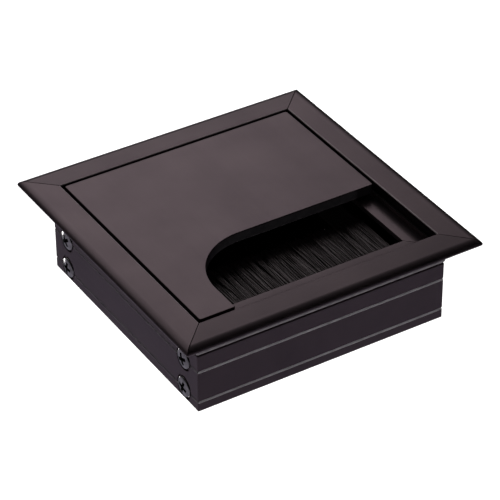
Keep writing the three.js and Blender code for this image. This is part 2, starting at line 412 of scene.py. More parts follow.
def shaded_zinc_recess():
    """The punched recess, painted darker than the head as shade, and duller."""
    material, tree, shader = new_material("shaded_zinc_recess")
    stain = object_noise(tree, (1, 1, 1), 900, 4)
    colour = tone(tree, spread(tree, stain, 0, 1), (0.010, 0.009, 0.010), (0.028, 0.025, 0.027))
    tree.links.new(colour, shader.inputs["Base Color"])
    tree.links.new(spread(tree, stain, 0.4, 0.55), shader.inputs["Roughness"])
    shader.inputs["Metallic"].default_value = 0.6
    relief(tree, shader, [(stain, 0.1, 0.02)])
    return material


def coated_steel():
    """Folded strip steel with a thin black coat."""
    material, tree, shader = new_material("coated_steel")
    patches = object_noise(tree, (1, 1, 1), 180, 5)
    rolled = object_noise(tree, (12, 1800, 1800), 1, 3)
    colour = tone(tree, spread(tree, patches, 0, 1), (0.016, 0.015, 0.016), (0.034, 0.032, 0.034))
    tree.links.new(colour, shader.inputs["Base Color"])
    tree.links.new(spread(tree, rolled, 0.38, 0.5), shader.inputs["Roughness"])
    shader.inputs["Metallic"].default_value = 0.35
    relief(tree, shader, [(rolled, 0.15, 0.03)])
    return material


def nylon():
    """Black nylon filament: a smooth skin, each strand a little lighter or darker, and darker
    towards its tip as painted shade.
    """
    material, tree, shader = new_material("nylon")
    strand = tree.nodes.new("ShaderNodeAttribute")
    strand.attribute_name = "strand"
    shade = tone(tree, strand.outputs["Fac"], (0.002, 0.0014, 0.0015), (0.040, 0.028, 0.030))
    tree.links.new(shade, shader.inputs["Base Color"])
    grain = object_noise(tree, (2500, 60, 2500), 1, 2)
    tree.links.new(spread(tree, grain, 0.26, 0.42), shader.inputs["Roughness"])
    shader.inputs["Specular IOR Level"].default_value = 0.55
    shader.inputs["Specular Tint"].default_value = (1.0, 0.8, 0.84, 1)
    relief(tree, shader, [(grain, 0.1, 0.02)])
    return material


def felt():
    """Pressed wool felt: a dense tangle of short fibres."""
    material, tree, shader = new_material("felt")
    fibres = object_noise(tree, (1, 1, 1), 3200, 6, 0.7)
    clumps = object_noise(tree, (1, 1, 1), 900, 3)
    colour = tone(tree, spread(tree, clumps, 0, 1), (0.010, 0.010, 0.010), (0.032, 0.030, 0.031))
    tree.links.new(colour, shader.inputs["Base Color"])
    tree.links.new(spread(tree, fibres, 0.85, 1.0), shader.inputs["Roughness"])
    shader.inputs["Sheen Weight"].default_value = 0.25
    shader.inputs["Sheen Roughness"].default_value = 0.5
    relief(tree, shader, [(fibres, 0.8, 0.12)])
    return material


# ---- rails -----------------------------------------------------------------------------


def flange_edge():
    """The rounded outer edge of the flange, from its underside up to its sloping top."""
    under = FLANGE_THICK - FLANGE_EDGE_DEPTH
    drop = FLANGE_EDGE_DEPTH - FLANGE_SLOPE
    edge = arc(FLANGE_HALF - under, FLANGE_EDGE_DEPTH, under, 90, 0, 6)
    middle = FLANGE_HALF - FLANGE_EDGE_RUN
    steps = 16
    for k in range(1, steps + 1):
        lean = math.pi / 2 * k / steps
        across = middle + FLANGE_EDGE_RUN * math.cos(lean)
        edge.append((across, FLANGE_EDGE_DEPTH - drop * math.sin(lean)))
    return [(across, depth, 0) for across, depth in edge]


def port_outline(depth):
    """A C-shaped screw port on its web, as corners, going down the inside of the wall."""
    web = math.degrees(math.asin(PORT_WEB_HALF / PORT_OUTER_R))
    lip = math.degrees(math.asin(PORT_MOUTH_HALF / PORT_OUTER_R))
    bore = math.degrees(math.asin(PORT_MOUTH_HALF / PORT_BORE_R))
    upper = arc(SCREW_ACROSS, depth, PORT_OUTER_R, -web, -180 + lip, 14)
    inner = arc(SCREW_ACROSS, depth, PORT_BORE_R, -180 + bore, 180 - bore, 24)
    lower = arc(SCREW_ACROSS, depth, PORT_OUTER_R, 180 - lip, web, 14)
    corners = [(WALL_INNER, depth - PORT_WEB_HALF, 0.25)]
    corners += [(x, y, 0) for x, y in upper + inner + lower]
    corners += [(WALL_INNER, depth + PORT_WEB_HALF, 0.25)]
    return corners


def ledge_level(across):
    """The ledge's depth: level at its inner edge, hollowed a little towards the wall."""
    share = max(0, across - LEDGE_FLAT) / (WALL_INNER - LEDGE_FLAT)
    return LEDGE_DEPTH + LEDGE_FALL * share**2


def rail_section(has_ports):
    """The extrusion's section as (across, depth) points."""
    corners = [
        (WALL_INNER, 0, 0.3),
        (WALL_INNER, LEDGE_DEPTH - FOOT_STEP, 0.05),
        (WALL_INNER - FOOT_STEP, LEDGE_DEPTH - FOOT_STEP, 0.12),
        (WALL_INNER - FOOT_STEP, ledge_level(WALL_INNER - FOOT_STEP), 0),
        *[(across, ledge_level(across), 0) for across in LEDGE_PLACES],
        (LEDGE_INNER, LEDGE_DEPTH, 0.15),
        (LEDGE_INNER, LEDGE_DEPTH + LEDGE_THICK, 0.15),
        (WALL_INNER, LEDGE_DEPTH + LEDGE_THICK, 0.3),
        (WALL_INNER, SHELF_DEPTH, 0.3),
        (SHELF_INNER, SHELF_DEPTH, 0.15),
        (SHELF_INNER, SHELF_DEPTH + SHELF_THICK, 0.15),
        (WALL_INNER, SHELF_DEPTH + SHELF_THICK, 0.3),
    ]
    if has_ports:
        for depth in SCREW_DEPTHS.values():
            corners += port_outline(depth)
    corners += [(WALL_INNER, TOP, 0.15), (WALL_HALF, TOP, 0.2)]
    for depth in sorted((CREASE_DEPTH, *GROOVE_DEPTHS), reverse=True):
        corners += [
            (WALL_HALF, depth + GROOVE_HALF, 0.16),
            (WALL_HALF - GROOVE_CUT, depth, 0.04),
        ]
        if depth != CREASE_DEPTH:
            corners.append((WALL_HALF, depth - GROOVE_HALF, 0.06))
    rib_r = (RIB_HALF_HEIGHT**2 + RIB_PROUD**2) / (2 * RIB_PROUD)
    rib_turn = math.degrees(math.asin(RIB_HALF_HEIGHT / rib_r))
    rib = arc(WALL_HALF + RIB_PROUD - rib_r, RIB_DEPTH, rib_r, rib_turn, -rib_turn, 10)
    corners += [(x, y, 0) for x, y in rib]
    corners.append((WALL_HALF, FLANGE_THICK, 0.3))
    corners += flange_edge()
    return rounded(corners)


CORNER_RINGS = 6


def on_wall(across, depth):
    """Whether a point of the section is on the outer face of the wall."""
    near = WALL_HALF - WALL_CORNER_R * (1 - math.sqrt(0.5)) < across < WALL_HALF + 0.7
    return near and depth >= FLANGE_THICK - 1e-6


def corner_path(across, depth, k):
    """Where a point of the section is at ring k of the rail's end: (across, along).

    Ring 0 is where the corner's rounding starts, and the last ring is on the mitre.
    """
    share = k / CORNER_RINGS
    turn = share * math.pi / 4
    wall_middle = WALL_HALF - WALL_CORNER_R
    flange_middle = FLANGE_HALF - FLANGE_CORNER_R
    start_back = WALL_CORNER_R * (1 - share)
    gap = mitre_gap(across, depth) * share
    if on_wall(across, depth):
        radius = max(WALL_CORNER_R, across - wall_middle)
        out = min(across, wall_middle + radius * math.cos(turn))
        return out, wall_middle + radius * math.sin(turn) - gap
    if across > flange_middle:
        radius = across - flange_middle
        return (
            flange_middle + radius * math.cos(turn),
            flange_middle - start_back + radius * math.sin(turn) - gap,
        )
    return across, across - start_back - gap


SIDE_TURNS = {"right": 0, "back": 1, "left": 2, "front": 3}


def turned(side, across, along):
    """A place on a rail, given out from the middle and along it, in plan."""
    x, y = across, along
    for _ in range(SIDE_TURNS[side]):
        x, y = -y, x
    return x, y


def mitre_gap(across, depth):
    """Half the gap at the mitre: closed up on the wall and at the flange's tip."""
    if on_wall(across, depth):
        return MITRE_ON_WALL[0]
    return MITRE_AT_RIM[0] if across > FLANGE_HALF - RIM_WIDTH else MITRE_GAP


def mitre_break(across, depth):
    """How far the mitre's edge is broken: plain to see on top, hardly on the wall."""
    if on_wall(across, depth):
        return MITRE_ON_WALL[1]
    return MITRE_AT_RIM[1] if across > FLANGE_HALF - RIM_WIDTH else MITRE_BREAK


def shrunk(section, insets):
    """The section drawn in all round, each point by its own inset."""
    inner = []
    count = len(section)
    for i, (x, y) in enumerate(section):
        before, after = section[i - 1], section[(i + 1) % count]
        way = Vector((after[0] - before[0], after[1] - before[1]))
        if way.length < 1e-9:
            inner.append((x, y))
            continue
        way.normalize()
        inner.append((x + way.y * insets[i], y - way.x * insets[i]))
    return inner


def make_rail(side, materials):
    """A rail from mitre to mitre; the front and back ones have the screw ports."""
    has_ports = side in ("front", "back")
    section = rail_section(has_ports)
    breaks = [mitre_break(across, depth) for across, depth in section]
    end_face = shrunk(section, breaks)
    last = CORNER_RINGS
    rings = [(last, -1, False)] + [(k, -1, True) for k in range(last, -1, -1)]
    rings += [(k, 1, True) for k in range(last + 1)] + [(last, 1, False)]
    points = []
    for k, end, back_off in rings:
        for i, (across, depth) in enumerate(section):
            out, along = corner_path(across, depth, k)
            if not back_off:
                out += end_face[i][0] - across
                along += end_face[i][0] - across
                depth = end_face[i][1]
            along -= (breaks[i] if back_off else 0) * k / last
            points.append((*turned(side, out, end * along), TOP - depth))
    faces = skin(len(section), len(rings))
    piece = make_piece(f"{side}_rail_finished", points, faces, materials)
    if not has_ports:
        drill_rail(piece, side)
    paint_rail(piece, inner_edge=side != "front", under_edge=not has_ports)
    weigh_normals(piece)
    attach(piece, "frame")
    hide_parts(f"{side}_rail")
    return piece


def drill_rail(piece, side):
    """The four counterbored screw holes, each with a broken edge."""
    profile = [
        (0, -HOLE_REACH),
        (HOLE_R, -HOLE_REACH),
        (HOLE_R, -COUNTERBORE_CUT),
        (COUNTERBORE_R, -COUNTERBORE_CUT),
        (COUNTERBORE_R, -HOLE_BREAK),
        (COUNTERBORE_R + HOLE_BREAK, 0),
        (COUNTERBORE_R + HOLE_BREAK, 1),
        (0, 1),
    ]
    outward = -1 if side == "left" else 1
    for depth in SCREW_DEPTHS.values():
        for end in (-1, 1):
            points, faces = lathe(profile, 64)
            cutter = make_piece("cutter", points, faces, [])
            cutter.matrix_world = Matrix.Translation(
                Vector((outward * WALL_HALF, end * SCREW_ACROSS, TOP - depth)) * MM
            ) @ Matrix.Rotation(-outward * math.pi / 2, 4, "Z")
            cut(piece, cutter)
    tidy_normals(piece.data)


# The finishes of a rail, in the order in which make_rail is given them: the coat, a painted
# highlight on the groove lips, a painted highlight on the rib, painted shade in the recess and a
# painted highlight on the inner edge.
COAT, GROOVE_LIP, RIB, RECESS, INNER_EDGE = range(5)

RECESS_START = 0.5
INNER_EDGE_DEPTH = 0.35
INNER_EDGE_OUT = WALL_INNER + 0.32
UNDER_EDGE_DEPTH = FLANGE_EDGE_DEPTH + 0.1
UNDER_EDGE_OUT = FLANGE_HALF - 0.5
WALL_FACE_LEAST = WALL_HALF - GROOVE_CUT - 0.05
WALL_FACE_MOST = WALL_HALF + 0.6
LIP_REACH = GROOVE_HALF + 0.06


def paint_rail(piece, inner_edge, under_edge):
    """Gives the lips of the grooves and the rib a painted highlight, and the rougher recess painted
    shade.

    inner_edge and under_edge say whether those edges of the flange get a painted highlight too.
    """
    for face in piece.data.polygons:
        centre = face.center / MM
        out = max(abs(centre.x), abs(centre.y))
        depth = TOP - centre.z
        on_ledge = LEDGE_INNER < out < WALL_INNER - FOOT_STEP
        # Painted shade: the recess below the flange gets the darker finish.
        if out < WALL_INNER + 0.01 and RECESS_START < depth < TOP:
            face.material_index = RECESS
        if on_ledge and depth < LEDGE_DEPTH + LEDGE_FALL:
            face.material_index = COAT
        # Painted highlight along the inner top edge of the flange.
        if inner_edge and depth < INNER_EDGE_DEPTH and out < INNER_EDGE_OUT:
            face.material_index = INNER_EDGE
        # Painted highlight along the flange's lower outer edge.
        if under_edge and depth > UNDER_EDGE_DEPTH and out > UNDER_EDGE_OUT:
            face.material_index = RIB
        if out > WALL_FACE_MOST or out < WALL_FACE_LEAST:
            continue
        # Painted highlight on the lips just below the grooves.
        if any(0 < depth - groove < LIP_REACH for groove in GROOVE_DEPTHS):
            face.material_index = GROOVE_LIP
        # Painted highlight on the rib.
        if abs(depth - RIB_DEPTH) < RIB_HALF_HEIGHT:
            face.material_index = RIB


# ---- lid -------------------------------------------------------------------------------


def lid_outline(inset):
    """The lid's outline in plan, drawn in by an inset; every inset has the same points."""
    half, corner = LID_HALF - inset, LID_CORNER_R
    left, back, notch = NOTCH_LEFT - inset, NOTCH_BACK + inset, NOTCH_R + inset
    outline = arc(left - corner, -half + corner, corner, -90, 0, 4)
    outline += arc(left + notch, back - notch, notch, 180, 90, 40)
    outline += arc(half - corner, back + corner, corner, -90, 0, 4)
    outline += arc(half - corner, half - corner, corner, 0, 90, 4)
    outline += arc(-half + corner, half - corner, corner, 90, 180, 4)
    outline += arc(-half + corner, -half + corner, corner, 180, 270, 4)
    return outline


def paint_notch(piece):
    """Gives the notch's side faces, but not the ends that meet the rim, a lighter finish as a
    painted highlight.
    """
    near, rim = 0.5, 0.6
    for face in piece.data.polygons:
        centre = face.center / MM
        in_notch = centre.x > NOTCH_LEFT - near and centre.y < NOTCH_BACK + near
        at_rim = centre.x > LID_HALF - rim or centre.y < -LID_HALF + rim
        if in_notch and not at_rim and abs(face.normal.z) < 0.3:
            face.material_index = 1


def make_lid(material, edge_material):
    """The lid with its notch, its upper edge rounded more than its lower one."""
    top_edge, bottom_edge, steps = 0.22, 0.12, 4
    rings = []
    for k in range(steps + 1):
        a = k / steps * math.pi / 2
        rings.append((bottom_edge * (1 - math.sin(a)), bottom_edge * (1 - math.cos(a))))
    for k in range(steps + 1):
        a = k / steps * math.pi / 2
        inset = top_edge * (1 - math.cos(a))
        rings.append((inset, LID_DEPTH - top_edge * (1 - math.sin(a))))
    points = []
    for inset, height in rings:
        outline = lid_outline(inset)
        points += [(x - LID_PLAY, y, TOP - LID_DEPTH + height) for x, y in outline]
    faces = skin(len(points) // len(rings), len(rings))
    piece = make_piece("lid_finished", points, faces, [material, edge_material])
    paint_notch(piece)
    weigh_normals(piece)
    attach(piece, "lid")
    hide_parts("lid")


def make_pad(corner, material):
    """A felt disc with a soft, slightly ragged edge, reaching down to the hollowed ledge."""
    low, high = box_mm(f"lid_pad_{corner}")
    low.z -= PAD_EXTRA
    middle = (low + high) / 2
    radius = (high.x - low.x) / 2
    thick = high.z - low.z
    soft = 0.22
    profile = [(0, 0), (radius - soft, 0)]
    profile += [(radius - soft + x, soft + y) for x, y in arc(0, 0, soft, -60, 0, 3)]
    profile += [(radius - soft + x, thick - soft + y) for x, y in arc(0, 0, soft, 0, 60, 3)]
    profile += [(radius - soft, thick), (0, thick)]
    points, faces = lathe(profile, 48)
    ragged = random.Random(f"pad {corner}")
    points = [
        (middle.x - LID_PLAY + x * (1 - 0.02 * ragged.random()), middle.y + z, low.z + y)
        for x, y, z in points
    ]
    piece = make_piece(f"lid_pad_{corner}_felt", points, faces, [material], 50)
    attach(piece, "lid")
    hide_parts(f"lid_pad_{corner}")


# ---- screws ----------------------------------------------------------------------------

HEAD_R = 3.1
HEAD_PROUD = 0.6
HEAD_SUNK = 0.45
HEAD_DOME_R = 10.0
HEAD_RIM_R = 0.45
RECESS_FLOOR = -0.6
RECESS_WIDTH = 1.2
RECESS_TOP_HALF = 2.35
RECESS_FLOOR_HALF = 1.1
RECESS_REACH = 2.5
THREAD_ROOT_R = 1.3
THREAD_CREST_R = 1.62
THREAD_PITCH = 1.3
THREAD_RIDGE_HALF = 0.22
THREAD_TIP = 2.6
THREAD_RUN_IN = 1.2
SCREW_LENGTH = 16.0
SCREW_FIRST_TURN = 0.35
SCREW_NEXT_TURN = 0.9


def dome_height(across):
    """How far the head's dome stands out from the wall, at a distance from its axis."""
    return HEAD_PROUD - HEAD_DOME_R + math.sqrt(HEAD_DOME_R**2 - across**2)


def screw_head():
    """The raised head, turned, with a broken lower edge."""
    profile = [(0, -HEAD_SUNK - 0.6), (THREAD_ROOT_R, -HEAD_SUNK - 0.6)]
    profile += [(THREAD_ROOT_R, -HEAD_SUNK - 0.1), (THREAD_ROOT_R + 0.1, -HEAD_SUNK)]
    profile += [(HEAD_R - 0.12, -HEAD_SUNK), (HEAD_R, -HEAD_SUNK + 0.12)]
    turn = math.asin((HEAD_R - HEAD_RIM_R) / (HEAD_DOME_R - HEAD_RIM_R))
    rim_level = dome_height(HEAD_DOME_R * math.sin(turn)) - HEAD_RIM_R * math.cos(turn)
    profile += arc(HEAD_R - HEAD_RIM_R, rim_level, HEAD_RIM_R, 0, 90 - math.degrees(turn), 7)
    for k in range(1, 11):
        across = HEAD_DOME_R * math.sin(turn * (1 - k / 10))
        profile.append((across, dome_height(across)))
    return lathe(profile, 64)


def recess_blade():
    """One blade of the cross recess, tapered towards its floor."""
    points = []
    for reach, half, height in (
        (RECESS_TOP_HALF, RECESS_WIDTH / 2, HEAD_PROUD + 0.5),
        (RECESS_FLOOR_HALF, RECESS_WIDTH / 2 * 0.7, RECESS_FLOOR),
    ):
        points += [(-reach, height, -half), (reach, height, -half)]
        points += [(reach, height, half), (-reach, height, half)]
    faces = [[0, 1, 2, 3], [4, 5, 6, 7]]
    faces += [[k, (k + 1) % 4, 4 + (k + 1) % 4, 4 + k] for k in range(4)]
    return points, faces


def thread_shank():
    """The rolled thread: a sharp ridge wound round a thinner core, closing to a point."""
    sides, rows_per_turn = 40, 10
    start, end = -HEAD_SUNK - 0.5, -SCREW_LENGTH
    rows = int((start - end) / THREAD_PITCH * rows_per_turn)
    points = []
    for row in range(rows + 1):
        along = start + (end - start) * row / rows
        to_tip = min(1, (along - end) / THREAD_TIP)
        to_head = min(1, (start - along) / THREAD_RUN_IN)
        for k in range(sides):
            a = 2 * math.pi * k / sides
            phase = (along / THREAD_PITCH + k / sides) % 1
            ridge = max(0, 1 - abs(phase - 0.5) / THREAD_RIDGE_HALF) * to_head
            radius = THREAD_ROOT_R + (THREAD_CREST_R - THREAD_ROOT_R) * ridge
            radius *= max(0.06, to_tip) ** 0.7
            points.append((radius * math.cos(a), along, radius * math.sin(a)))
    return points, skin(sides, rows + 1)


def screw_mesh(material, recess):
    """Head with its recess and the threaded shank, along Y, as one object to copy from."""
    head = make_piece("screw_pattern", *screw_head(), [material], 30)
    for quarter in range(2):
        blade = make_piece("blade", *recess_blade(), [])
        blade.matrix_world = Matrix.Rotation(quarter * math.pi / 2, 4, "Y")
        cut(head, blade)
    for face in head.data.polygons:
        x, along, z = face.center / MM
        across = math.hypot(x, z)
        below_dome = RECESS_FLOOR - 0.02 < along < dome_height(across) - 0.04
        # Painted shade: faces inside the cross recess get the darker finish.
        if across < RECESS_REACH and below_dome:
            face.material_index = 1
    shank = make_piece("shank", *thread_shank(), [material], 40)
    joined = bmesh.new()
    joined.from_mesh(head.data)
    joined.from_mesh(shank.data)
    mesh = bpy.data.meshes.new("screw")
    joined.to_mesh(mesh)
    joined.free()
    mesh.materials.append(material)
    mesh.materials.append(recess)
    for part in (head, shank):
        bpy.data.objects.remove(part)
    return mesh


def make_screws(material, recess):
    """The eight screws, each stopped at its own turn; returns their collection."""
    pattern = screw_mesh(material, recess)
    screws = bpy.data.collections.new("screws")
    bpy.context.scene.collection.children.link(screws)
    turn = SCREW_FIRST_TURN
    for side, outward in (("left", -1), ("right", 1)):
        for end, along in (("front", -1), ("back", 1)):
            for row, depth in SCREW_DEPTHS.items():
                name = f"{side}_screw_{end}_{row}"
                mesh = pattern.copy()
                mesh.transform(Matrix.Rotation(turn, 4, "Y"))
                mesh.transform(Matrix.Rotation(-outward * math.pi / 2, 4, "Z"))
                place = Vector((outward * WALL_HALF, along * SCREW_ACROSS, TOP - depth))
                mesh.transform(Matrix.Translation(place * MM))
                tidy_normals(mesh, 30)
                piece = bpy.data.objects.new(f"{name}_finished", mesh)
                screws.objects.link(piece)
                weigh_normals(piece)
                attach(piece, "frame")
                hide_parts(name)
                turn += SCREW_NEXT_TURN
    return screws


# ---- brush -----------------------------------------------------------------------------


def make_channel(material):
    """Strip steel folded into a U round the bristles, with rounded folds."""
    sheet, fold, cut_edge = 0.8, 0.6, 0.1
    outer_fold = fold + 0.5
    low, high = CHANNEL_LOW, CHANNEL_HIGH
    corners = [
        (high.y, low.z, cut_edge),
        (low.y, low.z, outer_fold),
        (low.y, high.z, outer_fold),
        (high.y, high.z, cut_edge),
        (high.y, high.z - sheet, cut_edge),
        (low.y + sheet, high.z - sheet, fold),
        (low.y + sheet, low.z + sheet, fold),
        (high.y, low.z + sheet, cut_edge),
    ]
    points, faces = bar(rounded(corners), low.x, high.x)
    piece = make_piece("brush_channel_finished", points, faces, [material])
    weigh_normals(piece)
    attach(piece, "frame")
    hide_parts("brush_channel")


def make_wire(material):
    """The core wire, with its cut ends slightly rounded."""
    low, high = WIRE_LOW, WIRE_HIGH
    radius = (high.z - low.z) / 2
    middle_y, middle_z = (low.y + high.y) / 2, (low.z + high.z) / 2
    length, soft = high.x - low.x, 0.15
    profile = [(0, 0), (radius - soft, 0), (radius, soft)]
    profile += [(radius, length - soft), (radius - soft, length), (0, length)]
    points, faces = lathe(profile, 32)
    points = [(low.x + y, middle_y + x, middle_z + z) for x, y, z in points]
    piece = make_piece("brush_core_wire_finished", points, faces, [material])
    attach(piece, "frame")
    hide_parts("brush_core_wire")


def make_root(material):
    """The bristles' fold round the wire: ridges show where strands lie side by side."""
    low, high = ROOT_LOW, ROOT_HIGH
    half = (high.z - low.z) / 2
    level = (high.z + low.z) / 2
    wire_y = (WIRE_LOW.y + WIRE_HIGH.y) / 2
    hollow = (WIRE_HIGH.z - WIRE_LOW.z) / 2 + 0.08
    slit = 0.12
    outer = [(high.y, -half)] + arc(wire_y, 0, half, 270, 90, 12) + [(high.y, half)]
    inner = [(high.y, slit)] + arc(wire_y, 0, hollow, 60, 300, 14) + [(high.y, -slit)]
    section = outer + inner
    pitch, steps, ridge = 0.3, 4, 0.06
    columns = int((high.x - low.x) / pitch * steps)
    points = []
    for c in range(columns + 1):
        x = low.x + (high.x - low.x) * c / columns
        wave = ridge * (0.5 - 0.5 * math.cos(2 * math.pi * c / steps))
        for i, (y, z) in enumerate(section):
            shrink = wave if i < len(outer) else 0
            points.append((x, y, level + z * (1 - shrink / half)))
    faces = skin(len(section), columns + 1)
    piece = make_piece("bristle_root_finished", points, faces, [material], 60)
    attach(piece, "frame")
    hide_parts("bristle_root")


STRAND_COUNT = 2600
STRAND_SIDES = 5
STRAND_STEPS = 7
STRAND_EXTRA = 2.7
STRAND_R = 0.115
TUFT_COUNT = 42


def strand_faces(base):
    """Faces of one filament, whose points start at number base."""
    faces = []
    for step in range(STRAND_STEPS):
        for side in range(STRAND_SIDES):
            n = (side + 1) % STRAND_SIDES
            a, b = base + step * STRAND_SIDES, base + (step + 1) * STRAND_SIDES
            faces.append((a + side, a + n, b + n, b + side))
    last = base + STRAND_STEPS * STRAND_SIDES
    faces.append(tuple(range(base + STRAND_SIDES - 1, base - 1, -1)))
    faces.append(tuple(range(last, last + STRAND_SIDES)))
    return faces


def draw_strands():
    """Points, faces and tones of the filaments, in tufts that lean and part a little; each tone
    fades towards the tip as painted shade.
    """
    rng = random.Random(17)
    root_y = ROOT_HIGH.y - 1.2
    tip_y = BRUSH_HIGH.y
    half_thick = (BRUSH_HIGH.z - BRUSH_LOW.z) / 2
    left, right = BRUSH_LOW.x, BRUSH_HIGH.x
    tufts = [
        (left + (right - left) * (k + 0.5) / TUFT_COUNT, rng.gauss(0, 1), rng.gauss(0, 1))
        for k in range(TUFT_COUNT)
    ]
    points, faces, tones_with_tip_shade = [], [], []
    for _ in range(STRAND_COUNT):
        x0 = left + 0.15 + (right - left - 0.3) * rng.random()
        z0 = (rng.random() * 2 - 1) * (half_thick - 0.25)
        place = int((x0 - left) / (right - left) * TUFT_COUNT)
        middle, sideways, upwards = tufts[min(TUFT_COUNT - 1, max(0, place))]
        pull = (middle - x0) * 0.25
        lean = 0.35 * sideways + rng.gauss(0, 0.35)
        lift = 0.25 * upwards + rng.gauss(0, 0.3)
        uneven = abs(rng.gauss(0, 1.0)) + 0.8 * abs(upwards) * rng.random()
        end_y = tip_y + STRAND_EXTRA - uneven
        curl = rng.gauss(0, 0.25)
        radius = STRAND_R + 0.03 * rng.random()
        shade = min(1, max(0, rng.gauss(0.42, 0.26)))
        faces += strand_faces(len(points))
        for step in range(STRAND_STEPS + 1):
            t = step / STRAND_STEPS
            y = root_y + (end_y - root_y) * t
            x = x0 + (lean + pull) * t * t + curl * math.sin(math.pi * t) * t
            z = z0 * (1 - 0.1 * t) + lift * t * t
            z = max(-half_thick + radius, min(half_thick - radius, z))
            x = max(left + radius, min(right - radius, x))
            width = radius * (0.55 if step == STRAND_STEPS else 1)
            for side in range(STRAND_SIDES):
                a = 2 * math.pi * side / STRAND_SIDES
                points.append(
                    (x + width * math.cos(a), y, BRUSH_LEVEL + z + width * math.sin(a))
                )
                # Painted shade: each strand's own tone is darkened towards its tip.
                tones_with_tip_shade.append(shade * (1 - 0.5 * t * t))
    return points, faces, tones_with_tip_shade


def make_bristles(material):
    """The free bristles, every one its own fine filament, curving gently along its length."""
    points, faces, tones_with_tip_shade = draw_strands()
    mesh = bpy.data.meshes.new("bristles_finished")
    mesh.from_pydata([[c * MM for c in p] for p in points], [], faces)
    mesh.materials.append(material)
    mesh.polygons.foreach_set("use_smooth", [True] * len(mesh.polygons))
    tint = mesh.attributes.new("strand", "FLOAT", "POINT")
    tint.data.foreach_set("value", tones_with_tip_shade)
    piece = bpy.data.objects.new("bristles_finished", mesh)
    bpy.context.scene.collection.objects.link(piece)
    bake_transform(piece)
    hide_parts("bristles")


# ---- stage, light and camera -------------------------------------------------------------


def direction(azimuth, elevation):
    """Unit vector from the object; azimuth 0 is the front (-Y), positive to the right."""
    a, e = math.radians(azimuth), math.radians(elevation)
    return Vector((math.sin(a) * math.cos(e), -math.cos(a) * math.cos(e), math.sin(e)))


FLOOR_HALF = 3.0
FLOOR_GREYS = (0.80, 0.80, 0.80), (0.83, 0.83, 0.83)
# Painted shade: a near-black card under the grommet, inside its frame.
SHADE_CARD_GREYS = (0.002, 0.002, 0.002), (0.004, 0.004, 0.004)

# Each soft light: azimuth, elevation, distance, width, height and radiance.
BACK_LIGHT = (167, 34.5, 1.0, 0.80, 0.27, 1.9)
SPILL_LIGHT = (172, 40.5, 1.05, 1.5, 0.54, 0.24)
FLOOR_LIGHT = (0, 90, 1.6, 2.4, 2.4, 4.2)
GLINT_LIGHT = (-166, -22, 0.6, 0.20, 0.10, 7)
BELOW_LIGHT = (0, -90, 0.30, 0.10, 0.10, 12)


def stage_material(name, dark, light):
    """Matt card that is clear from below, so that the underside can be looked at."""
    material, tree, shader = new_material(name)
    paper = object_noise(tree, (1, 1, 1), 60, 4)
    colour = tone(tree, spread(tree, paper, 0, 1), dark, light)
    tree.links.new(colour, shader.inputs["Base Color"])
    shader.inputs["Roughness"].default_value = 0.9
    shader.inputs["Specular IOR Level"].default_value = 0.0
    clear = tree.nodes.new("ShaderNodeBsdfTransparent")
    facing = tree.nodes.new("ShaderNodeNewGeometry")
    mixed = tree.nodes.new("ShaderNodeMixShader")
    tree.links.new(facing.outputs["Backfacing"], mixed.inputs["Fac"])
    tree.links.new(shader.outputs["BSDF"], mixed.inputs[1])
    tree.links.new(clear.outputs["BSDF"], mixed.inputs[2])
    tree.links.new(mixed.outputs["Shader"], tree.nodes["Material Output"].inputs["Surface"])
    return material


def square(half, level):
    """The corners of a level square about the middle."""
    signs = ((-1, -1), (1, -1), (1, 1), (-1, 1))
    return [(x * half, y * half, level) for x, y in signs]


def make_floor():
    """A pale floor with the grommet's cut-out in it, and a dark card in the cut-out as painted
    shade.
    """
    level = cad_bounds[0].z - 0.00005
    hole = (WALL_HALF - 0.7) * MM
    corners = square(FLOOR_HALF, level) + square(hole, level)
    ring = [(k, (k + 1) % 4, 4 + (k + 1) % 4, 4 + k) for k in range(4)]
    lit = bpy.data.collections.new("lit_floor")
    bpy.context.scene.collection.children.link(lit)
    for name, points, faces, dark, light in (
        ("floor", corners, ring, *FLOOR_GREYS),
        ("card", square(hole, level), [(0, 1, 2, 3)], *SHADE_CARD_GREYS),
    ):
        mesh = bpy.data.meshes.new(name)
        mesh.from_pydata(points, [], faces)
        mesh.materials.append(stage_material(name, dark, light))
        sheet = bpy.data.objects.new(name, mesh)
        if name == "floor":
            sheet.visible_glossy = False
            lit.objects.link(sheet)
        else:
            bpy.context.scene.collection.objects.link(sheet)
    return lit


def make_softbox(name, azimuth, elevation, distance, width, height, radiance):
    """A rectangular soft light that faces the object, of a given brightness."""
    light = bpy.data.lights.new(name, "AREA")
    light.shape = "RECTANGLE"
    light.size, light.size_y = width, height
    light.energy = radiance * math.pi * width * height
    lamp = bpy.data.objects.new(name, light)
    towards = direction(azimuth, elevation)
    lamp.location = towards * distance
    lamp.rotation_mode = "QUATERNION"
    lamp.rotation_quaternion = towards.to_track_quat("Z", "Y")
    lamp.visible_camera = False
    bpy.context.scene.collection.objects.link(lamp)
    return lamp


def nearness(tree, place, towards):
    """How far a direction agrees with another one, from -1 to 1."""
    product = tree.nodes.new("ShaderNodeVectorMath")
    product.operation = "DOT_PRODUCT"
    product.inputs[1].default_value = towards
    tree.links.new(place, product.inputs[0])
    return product.outputs["Value"]


def smooth_range(tree, value, low, high, start, end):
    """A value between low and high turned smoothly into one between start and end."""
    ranged = node(tree, "ShaderNodeMapRange", From_Min=low, From_Max=high, To_Min=start, To_Max=end)
    ranged.interpolation_type = "SMOOTHSTEP"
    tree.links.new(value, ranged.inputs["Value"])
    return ranged.outputs["Result"]


def from_signed(tree, value):
    """A value between -1 and 1 turned into one between 0 and 1."""
    ranged = node(tree, "ShaderNodeMapRange", From_Min=-1.0, From_Max=1.0)
    tree.links.new(value, ranged.inputs["Value"])
    return ranged.outputs["Result"]


